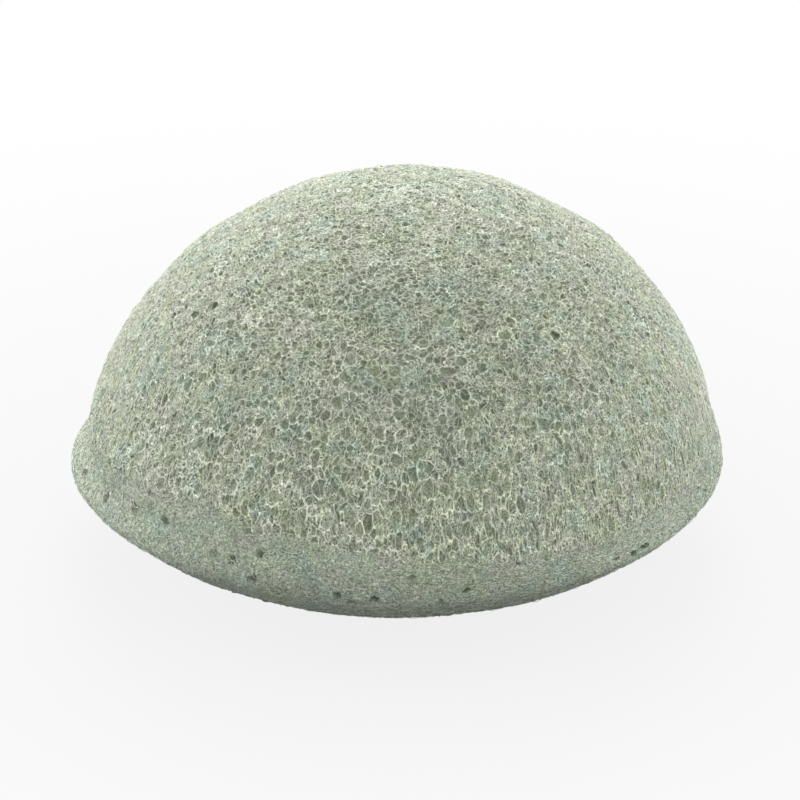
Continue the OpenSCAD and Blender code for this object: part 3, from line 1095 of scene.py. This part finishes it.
def foam_tint_group():
    """The foam's colour by the marks and the web: threads, films of four hues, and painted shade in pits,
    grooves, web gaps and the front foot.
    """
    values = ["Thread", "Hollow", "Tone", "Patch Size", "Web Lines", "Web Gaps", "Web Strength",
              "Grain", "Shade And Wetness", "Deep"]
    colours = ["Thread Color", "Film Color", "Second Film Color", "Warm Film Color",
               "Cool Film Color", "Pit Shade Color"]
    inputs = dict.fromkeys(values, "Float") | dict.fromkeys(colours, "Color")
    nodes, given, result = new_group("foam_tint", inputs, {"Color": "Color"})
    place = nodes.add("TexCoord").outputs["Object"]
    scale = nodes.maths("DIVIDE", 1, given["Patch Size"])
    patch = nodes.add("TexNoise", {"Vector": place, "Scale": scale, "Detail": 3}).outputs["Fac"]
    hue = nodes.maths("ADD", patch, nodes.maths("MULTIPLY", given["Tone"], 0.16))
    film = nodes.blend(nodes.ramp(hue, 0.5, 0.66), given["Film Color"], given["Second Film Color"])
    moved = nodes.add("VectorMath", {0: place, 1: (0.3, 0.7, 0.1)}, operation="ADD").outputs[0]
    warm = nodes.add("TexNoise", {"Vector": moved, "Scale": scale, "Detail": 3}).outputs["Fac"]
    film = nodes.blend(nodes.ramp(warm, 0.52, 0.64), film, given["Warm Film Color"])
    film = nodes.blend(nodes.ramp(warm, 0.46, 0.36), film, given["Cool Film Color"])
    hue_change = nodes.blend(1.0, film, given["Film Color"], "DIVIDE")
    # Painted shade: a dark groove on the film just beside each thread's crest.
    beside, off_crest = nodes.ramp(given["Thread"], 0, 0.1), nodes.ramp(given["Thread"], 0.3, 0.15)
    groove_shade = nodes.maths("MULTIPLY", beside, off_crest)
    open_film = nodes.ramp(given["Hollow"], 0.12, 0.3)
    painted_shade = nodes.maths("MULTIPLY_ADD", groove_shade, -PAINTED_GROOVE_SHADE, 1.08)
    # Painted shade: the film is darker in the gaps between the hairs of the web.
    painted_shade = nodes.maths("MULTIPLY_ADD", given["Web Gaps"], -PAINTED_GAP_SHADE, painted_shade)
    tone = nodes.maths("MULTIPLY_ADD", given["Tone"], TONE_LIGHT, 1.0)
    light = nodes.maths("MULTIPLY", tone, painted_shade)
    film = nodes.blend(1.0, film, light, "MULTIPLY")
    # Painted shade: the films turn to the pit colour down the deeper bowls.
    film = nodes.blend(nodes.ramp(given["Hollow"], 0.3, given["Deep"]), film, given["Pit Shade Color"])
    lines = nodes.maths("MULTIPLY", given["Web Lines"], given["Web Strength"])
    lines = nodes.maths("MULTIPLY", lines, nodes.maths("MULTIPLY_ADD", open_film, -0.7, 1.0))
    thread = nodes.maths("MAXIMUM", nodes.ramp(given["Thread"], 0.15, 0.9), lines)
    pale = nodes.blend(1.0, given["Thread Color"], hue_change, "MULTIPLY")
    grain = nodes.maths("MULTIPLY_ADD", given["Grain"], GRAIN_SHADE, 1 - GRAIN_SHADE / 2)
    # Painted shade: the colour darkens low down at the front of the foot.
    front_shade = nodes.maths("MULTIPLY_ADD", given["Shade And Wetness"], -PAINTED_FRONT_SHADE, 1.0)
    grain = nodes.maths("MULTIPLY", grain, front_shade)
    nodes.set(result["Color"], nodes.blend(1.0, nodes.blend(thread, film, pale), grain, "MULTIPLY"))
    return nodes.tree


# How much higher a place counts for each length that it lies further back, which keeps the painted
# shade of the foot low at the front, and how much smoother the foam is there
SHADE_LEAN, WET_SMOOTH = 0.25, 0.1


def moist_grain_group():
    """The fine grain of the foam, as a height, a shade and a roughness, with a mask for the painted shade
    low at the front, which also smooths it.
    """
    inputs = {"Grain Size": "Float", "Web Lines": "Float", "Roughness": "Float", "Spread": "Float",
              "Shade Below": "Float"}
    outputs = {"Height": "Float", "Roughness": "Float", "Grain": "Float", "Shade And Wetness": "Float"}
    nodes, given, result = new_group("moist_grain", inputs, outputs)
    place = nodes.add("TexCoord").outputs["Object"]
    scale = nodes.maths("DIVIDE", 1, given["Grain Size"])
    fine = nodes.add("TexNoise", {"Vector": place, "Scale": scale, "Detail": 3}).outputs["Fac"]
    nodes.set(result["Grain"], fine)
    nodes.set(result["Height"], nodes.maths("MULTIPLY_ADD", fine, 0.6, given["Web Lines"]))
    part = nodes.add("SeparateXYZ", {0: place}).outputs
    height = nodes.maths("MULTIPLY_ADD", nodes.maths("ADD", part["Y"], RIM_R), SHADE_LEAN, part["Z"])
    shade_and_wetness = nodes.ramp(height, given["Shade Below"], nodes.maths("MULTIPLY", given["Shade Below"], 0.74))
    nodes.set(result["Shade And Wetness"], shade_and_wetness)
    wander = nodes.maths("MULTIPLY", nodes.maths("SUBTRACT", fine, 0.5), given["Spread"])
    rough = nodes.maths("ADD", given["Roughness"], wander)
    nodes.set(result["Roughness"], nodes.maths("MULTIPLY_ADD", shade_and_wetness, -WET_SMOOTH, rough, clamp=True))
    return nodes.tree


fine_web, foam_tint, moist_grain = fine_web_group(), foam_tint_group(), moist_grain_group()


# %% [markdown]
# One function makes every zone's material from the shared groups, with hues, a web, a roughness and a
# sheen of its own. The dome's web is as tall as its cells are, so it grows taller low down.

# %% Foam finishes
def placed(nodes, group, values):
    """A group in a material, with its inputs set by name."""
    node = nodes.add("Group", node_tree=group)
    for name, value in values.items():
        nodes.set(node.inputs[name], value)
    return node.outputs


# Height at which the painted shade of the front foot begins
SHADE_BELOW = 15.5 * MM
PATCH_SIZE = 4 * MM
ROUGH_SPREAD, BUMP_STRENGTH = 0.3, 0.6
SHEEN_ROUGHNESS = 0.3


def foam_finish(name, tints, web, roughness, sheen, grain_size, grain_height):
    material = bpy.data.materials.new(name)
    material.use_nodes = True
    nodes = Nodes(material.node_tree)
    shader = material.node_tree.nodes["Principled BSDF"]
    marks = {mark: nodes.add("Attribute", attribute_name=mark).outputs["Fac"] for mark in MARKS}
    tallness = web.tallness
    if web.twice_tall_at:
        height = nodes.add("SeparateXYZ", {0: nodes.add("TexCoord").outputs["Object"]}).outputs["Z"]
        tallness = nodes.maths("DIVIDE", 2 * web.twice_tall_at, height)
    hairs = placed(nodes, fine_web, {"Size": web.size, "Tallness": tallness, "Line": web.line})
    grain = placed(nodes, moist_grain, {
        "Grain Size": grain_size, "Web Lines": hairs["Lines"], "Roughness": roughness,
        "Spread": ROUGH_SPREAD, "Shade Below": SHADE_BELOW,
    })
    tint = placed(nodes, foam_tint, {
        "Thread": marks["thread"], "Hollow": marks["hollow"], "Tone": marks["tone"],
        "Web Lines": hairs["Lines"], "Web Gaps": hairs["Gaps"], "Web Strength": web.strength,
        "Grain": grain["Grain"], "Shade And Wetness": grain["Shade And Wetness"], "Patch Size": PATCH_SIZE, **tints,
    })
    nodes.set(shader.inputs["Base Color"], tint["Color"])
    nodes.set(shader.inputs["Roughness"], grain["Roughness"])
    bump = {"Height": grain["Height"], "Distance": grain_height, "Strength": BUMP_STRENGTH}
    nodes.set(shader.inputs["Normal"], nodes.add("Bump", bump).outputs["Normal"])
    shader.inputs["Sheen Weight"].default_value = sheen
    shader.inputs["Sheen Roughness"].default_value = SHEEN_ROUGHNESS
    return material


# Each zone's pit colour is painted shade for the bottoms of the deeper bowls.
DOME_TINTS = {
    "Thread Color": linear(230, 237, 218),
    "Film Color": linear(113, 125, 104),
    "Second Film Color": linear(113, 125, 99),
    "Warm Film Color": linear(115.5, 124.5, 104),
    "Cool Film Color": linear(110.5, 126, 105),
    "Pit Shade Color": linear(74, 87, 60),
    "Deep": 0.9,
}
SKIRT_TINTS = {
    "Thread Color": linear(221, 230, 213),
    "Film Color": linear(142, 155, 137),
    "Second Film Color": linear(142, 155, 132),
    "Warm Film Color": linear(145, 154, 137),
    "Cool Film Color": linear(139, 156, 138),
    "Pit Shade Color": linear(88, 103, 82),
    "Deep": 0.6,
}
dome_web = SimpleNamespace(size=0.28 * MM, tallness=None, twice_tall_at=30 * MM, line=0.13, strength=0.9)
skirt_web = SimpleNamespace(size=0.34 * MM, tallness=0.5, twice_tall_at=None, line=0.1, strength=0.7)
dome_finish = foam_finish("coarse_foam", DOME_TINTS, dome_web, 0.5, 1.0, 0.24 * MM, 0.06 * MM)
rim_finish = foam_finish("rim_foam", SKIRT_TINTS, skirt_web, 0.55, 0.3, 0.26 * MM, 0.05 * MM)
base_finish = foam_finish("fine_foam", SKIRT_TINTS, skirt_web, 0.6, 0.15, 0.2 * MM, 0.05 * MM)
core_finish = foam_finish("core_foam", DOME_TINTS, dome_web, 0.6, 0.2, 0.4 * MM, 0.06 * MM)

# %% [markdown]
# Each piece rides on the one body, takes its zone's finish, and stands in for the zone that it
# dresses, which is hidden.

# %% Each piece in its zone
zones = {
    "dome_foam": ("dome_foam", "coarse_foam", dome_finish),
    "dome_threads": ("dome_foam", "coarse_foam", dome_finish),
    "rim_foam": ("rim_lip", "rim_foam", rim_finish),
    "rim_threads": ("rim_lip", "rim_foam", rim_finish),
    "base_foam": ("base_pad", "fine_foam", base_finish),
    "base_threads": ("base_pad", "fine_foam", base_finish),
    "core_foam": ("foam_core", "core_foam", core_finish),
}
for name, piece in pieces.items():
    zone = next(z for z in zones if name.startswith(z))
    node, slot, finish = zones[zone]
    piece.data.materials.append(finish)
    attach(piece, "root")
    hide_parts(node)

# %% [markdown]
# The studio is a pale floor and a white backdrop, with a painted pool of shade on the floor round the
# sponge. The world gives most of the light. The lamps add a little from above and behind, from both
# sides and from the front, so that the top edge is the brightest and the shade gathers under the lip.
# They are kept low, so that the pale foam doesn't clip to white from behind. The camera sees a white
# world whatever grey the world's light has.

# %% Floor and light
FLOOR_SIZE = 6
FLOOR_GLOW = 0.85
PAINTED_SHADE_REACH = (0.05, 0.16)
FLOOR_COLOUR, FLOOR_ROUGHNESS = linear(155, 155, 155), 0.9
WHITE = (1, 1, 1, 1)


def studio_floor():
    bpy.ops.mesh.primitive_plane_add(size=FLOOR_SIZE)
    plane = bpy.context.object
    plane.name = "floor"
    plane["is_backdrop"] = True
    material = bpy.data.materials.new("floor")
    material.use_nodes = True
    nodes = Nodes(material.node_tree)
    shader = material.node_tree.nodes["Principled BSDF"]
    shader.inputs["Base Color"].default_value = FLOOR_COLOUR
    shader.inputs["Roughness"].default_value = FLOOR_ROUGHNESS
    place = nodes.add("TexCoord").outputs["Object"]
    away = nodes.add("VectorMath", {0: place}, operation="LENGTH").outputs["Value"]
    # Painted shade: near the sponge the camera sees less of the white glow, so a darker pool lies round
    # it.
    far = nodes.ramp(away, *PAINTED_SHADE_REACH)
    glow_share = nodes.maths("MULTIPLY_ADD", far, 1 - FLOOR_GLOW, FLOOR_GLOW)
    seen = nodes.maths("MULTIPLY", nodes.add("LightPath").outputs["Is Camera Ray"], glow_share)
    glow = nodes.add("Emission", {"Color": WHITE, "Strength": 1})
    both = nodes.add("MixShader", {0: seen, 1: shader.outputs[0], 2: glow.outputs[0]})
    nodes.set(material.node_tree.nodes["Material Output"].inputs["Surface"], both.outputs[0])
    plane.data.materials.append(material)


def lamp(name, place, size, power, aim=(0, 0, 0.02)):
    data = bpy.data.lights.new(name, "AREA")
    data.size = size
    data.energy = power
    light = bpy.data.objects.new(name, data)
    light.location = place
    light.rotation_euler = (Vector(aim) - Vector(place)).to_track_quat("-Z", "Y").to_euler()
    bpy.context.scene.collection.objects.link(light)


def studio_world(grey):
    world = bpy.data.worlds.new("studio")
    bpy.context.scene.world = world
    world.use_nodes = True
    nodes = Nodes(world.node_tree)
    seen = nodes.add("LightPath").outputs["Is Camera Ray"]
    colour = nodes.blend(seen, (grey, grey, grey, 1), WHITE)
    nodes.set(world.node_tree.nodes["Background"].inputs["Color"], colour)


studio_floor()
studio_world(1.0)
lamp("top_back", (0, 0.5, 0.5), 0.4, 3.8)
lamp("back", (0, 0.65, 0.33), 0.4, 0.6)
lamp("left", (-0.65, 0.25, 0.25), 0.5, 3.0)
lamp("right", (0.65, 0.25, 0.2), 0.5, 2.0)
lamp("front", (0.15, -0.65, 0.25), 0.5, 0.6)

# %% [markdown]
# The camera looks down at the sponge by 25 degrees. Its lens is worked out from how many pixels of
# the picture a metre takes at the sponge.

# %% Camera
ELEVATION = math.radians(25)
DISTANCE = 0.765
AIM_Z = 0.018
PX_PER_M = 8070
FRAME_PX = 800
SHIFT_PX = 3.6
camera_data = bpy.data.cameras.new("camera")
camera_data.sensor_width = 36
camera_data.lens = camera_data.sensor_width * DISTANCE * PX_PER_M / FRAME_PX
camera_data.shift_y = SHIFT_PX / FRAME_PX
camera_data.clip_end = 20
camera = bpy.data.objects.new("camera", camera_data)
camera.location = (0, -DISTANCE * math.cos(ELEVATION), AIM_Z + DISTANCE * math.sin(ELEVATION))
camera.rotation_euler = (math.pi / 2 - ELEVATION, 0, 0)
bpy.context.scene.collection.objects.link(camera)
bpy.context.scene.camera = camera
bpy.context.scene.view_settings.view_transform = "Standard"

# %% [markdown]
# The boxes of the imported model and of the dressed one are printed side by side.

# %% Sizes and the end
boxes = {"cad": cad_bounds, "visual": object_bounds()}
for name, box in boxes.items():
    print(name, "box in mm:", np.round(np.array(box) / MM, 1).tolist())
